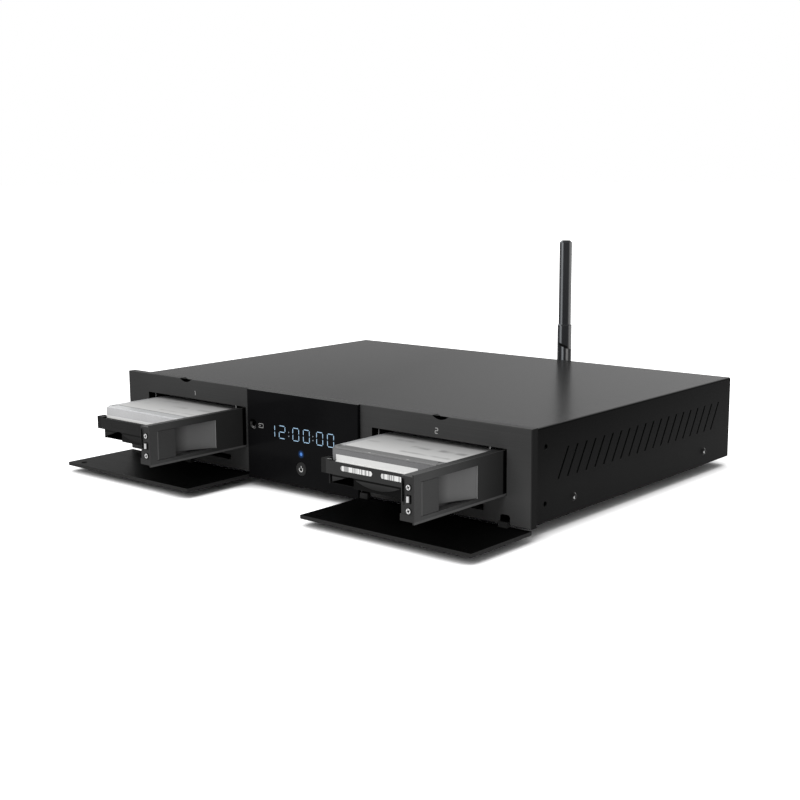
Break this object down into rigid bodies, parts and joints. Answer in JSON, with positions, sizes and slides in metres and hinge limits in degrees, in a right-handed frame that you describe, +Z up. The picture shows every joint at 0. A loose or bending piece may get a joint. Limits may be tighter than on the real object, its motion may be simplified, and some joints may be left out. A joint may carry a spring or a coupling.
{
  "type": "media player",
  "caption": "Hi-fi width media player: display block between two hard drive bays, flaps down, rack doors open, drive trays drawn out, and an upright rear antenna",
  "frame": {"origin": "middle of the bounding box on the surface that the feet stand on", "axes": "+X to the right along the front panel, +Y to the back, +Z up; the front panel faces -Y"},
  "size_m": [0.43, 0.4246, 0.1864],
  "materials": {
    "front_metal": "black anodised, fine horizontal brushing",
    "sheet_metal": "satin black powder coat",
    "zinc_sheet": "bare zinc plated steel sheet",
    "rack_sheet": "black painted steel sheet with bright cut edges",
    "window": "polished black tinted acrylic",
    "tube_glass": "smoked glass",
    "circuit_board": "green solder mask",
    "black_plastic": "fine matt black moulding",
    "rack_plastic": "dark grey moulding",
    "drive_cast": "matt cast aluminium",
    "drive_lid": "satin steel with a paper label",
    "bright_steel": "nickel plated",
    "black_steel": "black oxide screw",
    "rubber": "matt rubber",
    "blue_lamp": "clear blue lamp",
    "brass": "gold plated"
  },
  "bodies": {
    "cabinet": {"front_panel": "front_metal", "front_panel_screws": "bright_steel", "display_window": "window", "display_tube": "tube_glass", "display_board": "circuit_board", "status_led": "blue_lamp", "front_jack": "bright_steel", "button_switch": "black_plastic", "chassis_base": "zinc_sheet", "top_cover": "sheet_metal", "case_screws": "black_steel", "feet": "rubber", "foot_screws": "bright_steel", "rear_panel": "sheet_metal", "hdmi_ports": "bright_steel", "usb_ports": "bright_steel", "lan_port": "bright_steel", "optical_port": "black_plastic", "audio_ports": "brass", "power_inlet": "black_plastic", "switch_frame": "black_plastic", "antenna_connector": "brass", "main_board": "circuit_board", "heatsink": "front_metal", "power_supply": "circuit_board", "isolator_screws": "bright_steel", "left_flap_pins": "bright_steel", "left_rack_cage": "rack_sheet", "left_rack_isolators": "rubber", "left_rack_backplane": "circuit_board", "left_door_pin": "bright_steel", "right_flap_pins": "bright_steel", "right_rack_cage": "rack_sheet", "right_rack_isolators": "rubber", "right_rack_backplane": "circuit_board", "right_door_pin": "bright_steel"},
    "left_flap": {"left_flap": "front_metal", "left_flap_pads": "black_plastic"},
    "left_door": {"left_rack_door": "rack_plastic", "left_door_screws": "bright_steel"},
    "left_lever": {"left_door_lever": "rack_plastic"},
    "left_latch": {"left_latch_tongue": "bright_steel"},
    "left_carrier": {"left_drive_carrier": "rack_plastic", "left_drive_body": "drive_cast", "left_drive_lid": "drive_lid", "left_drive_board": "circuit_board"},
    "right_flap": {"right_flap": "front_metal", "right_flap_pads": "black_plastic"},
    "right_door": {"right_rack_door": "rack_plastic", "right_door_screws": "bright_steel"},
    "right_lever": {"right_door_lever": "rack_plastic"},
    "right_latch": {"right_latch_tongue": "bright_steel"},
    "right_carrier": {"right_drive_carrier": "rack_plastic", "right_drive_body": "drive_cast", "right_drive_lid": "drive_lid", "right_drive_board": "circuit_board"},
    "power_button": {"power_button": "window"},
    "power_rocker": {"power_rocker": "black_plastic"},
    "antenna_base": {"antenna_knuckle": "black_plastic"},
    "antenna": {"antenna_mast": "black_plastic"}
  },
  "joints": [
    {"name": "left_flap_hinge", "type": "hinge", "parent": "cabinet", "child": "left_flap", "pos_m": [-0.13825, -0.1114, 0.0105], "axis": [-1, 0, 0], "range_deg": [0, 16]},
    {"name": "left_door_hinge", "type": "hinge", "parent": "cabinet", "child": "left_door", "pos_m": [-0.0746, -0.0988, 0.0459], "axis": [0, 0, 1], "range_deg": [-2, 1.5]},
    {"name": "left_lever_hinge", "type": "hinge", "parent": "left_door", "child": "left_lever", "pos_m": [-0.067, -0.2032, 0.0459], "axis": [0, 0, -1], "range_deg": [0, 25]},
    {"name": "left_latch_slide", "type": "slide", "parent": "left_door", "child": "left_latch", "axis": [0, 1, 0], "range_m": [0, 0.0022], "stiffness_N_per_m": 300, "springref_m": -0.002},
    {"name": "left_carrier_slide", "type": "slide", "parent": "cabinet", "child": "left_carrier", "axis": [0, 1, 0], "range_m": [0, 0.0745]},
    {"name": "right_flap_hinge", "type": "hinge", "parent": "cabinet", "child": "right_flap", "pos_m": [0.13825, -0.1114, 0.0105], "axis": [-1, 0, 0], "range_deg": [0, 16]},
    {"name": "right_door_hinge", "type": "hinge", "parent": "cabinet", "child": "right_door", "pos_m": [0.1849, -0.0988, 0.0459], "axis": [0, 0, 1], "range_deg": [-2, 1.5]},
    {"name": "right_lever_hinge", "type": "hinge", "parent": "right_door", "child": "right_lever", "pos_m": [0.1925, -0.2032, 0.0459], "axis": [0, 0, -1], "range_deg": [0, 25]},
    {"name": "right_latch_slide", "type": "slide", "parent": "right_door", "child": "right_latch", "axis": [0, 1, 0], "range_m": [0, 0.0022], "stiffness_N_per_m": 300, "springref_m": -0.002},
    {"name": "right_carrier_slide", "type": "slide", "parent": "cabinet", "child": "right_carrier", "axis": [0, 1, 0], "range_m": [0, 0.0745]},
    {"name": "power_button_press", "type": "slide", "parent": "cabinet", "child": "power_button", "axis": [0, 1, 0], "range_m": [0, 0.0008], "stiffness_N_per_m": 1500, "springref_m": -0.0004},
    {"name": "power_rocker_tilt", "type": "hinge", "parent": "cabinet", "child": "power_rocker", "pos_m": [0.172, 0.1907, 0.0394], "axis": [1, 0, 0], "range_deg": [0, 16]},
    {"name": "antenna_swivel", "type": "hinge", "parent": "cabinet", "child": "antenna_base", "pos_m": [0.0316, 0.1967, 0.0534], "axis": [0, 1, 0], "range_deg": [-90, 90]},
    {"name": "antenna_tilt", "type": "hinge", "parent": "antenna_base", "child": "antenna", "pos_m": [0.0316, 0.2057, 0.0534], "axis": [-1, 0, 0], "range_deg": [0, 90]}
  ],
  "couplings": [
    {"joint": "left_lever_hinge", "follows": "left_latch_slide", "rad_per_m": 198.3},
    {"joint": "right_lever_hinge", "follows": "right_latch_slide", "rad_per_m": 198.3}
  ]
}
